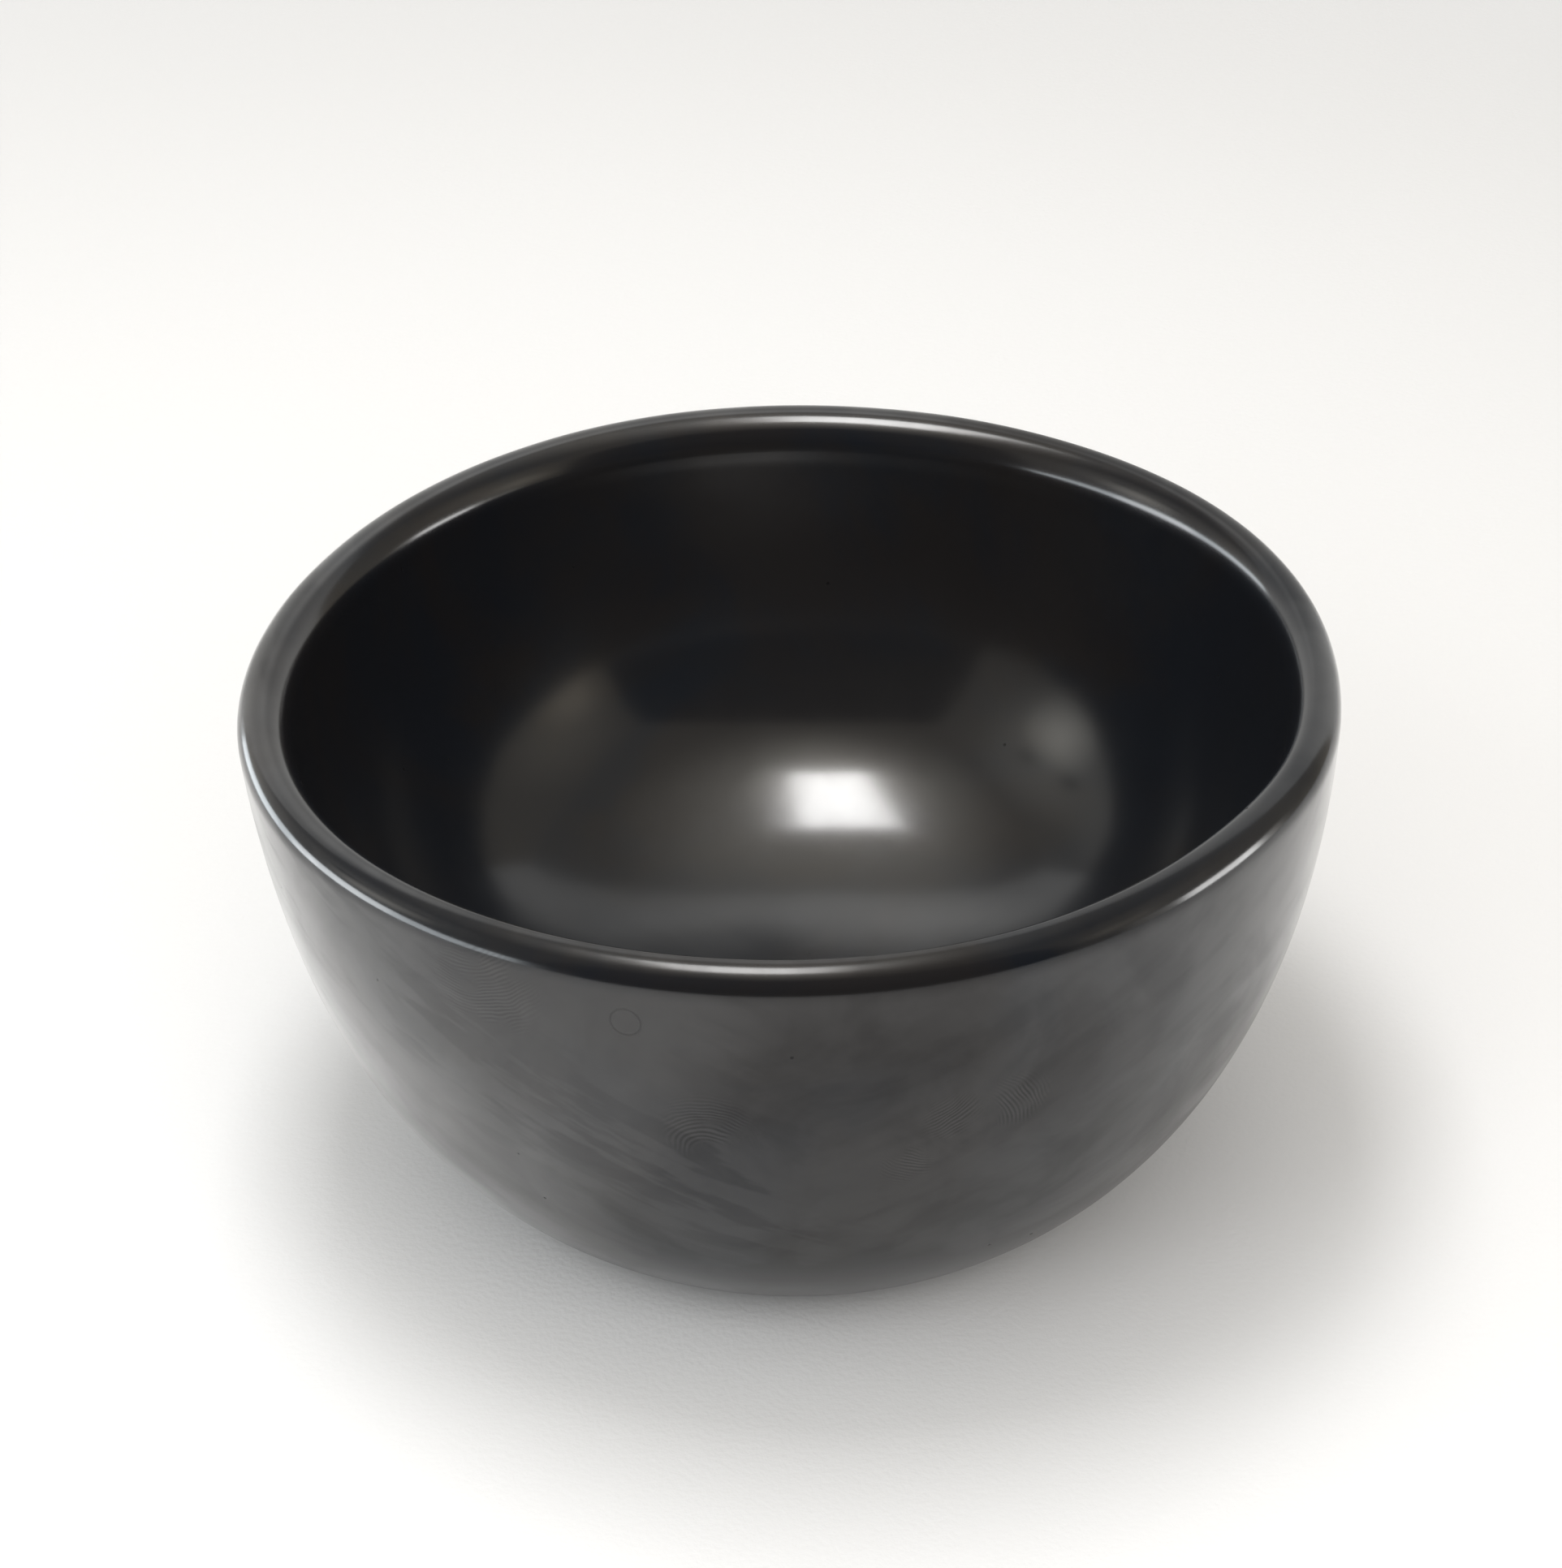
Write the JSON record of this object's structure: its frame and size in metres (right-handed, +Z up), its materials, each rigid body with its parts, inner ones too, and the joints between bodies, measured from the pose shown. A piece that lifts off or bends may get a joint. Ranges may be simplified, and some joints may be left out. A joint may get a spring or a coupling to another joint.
{
  "type": "bowl",
  "caption": "Small round clay bowl with a rounded lip, an upright rim and a narrower flat base to stand on.",
  "frame": {"origin": "middle of the bowl's width and depth, on the surface that it stands on", "axes": "+Z up out of the mouth, -Y towards the viewer of the picture, +X to the viewer's right"},
  "size_m": [0.1218, 0.1184, 0.0652],
  "materials": {
    "burnished_clay": "smoke-fired black slip, stone-burnished to a graphite-like shine"
  },
  "bodies": {
    "root": {"bowl": "burnished_clay"}
  },
  "joints": []
}
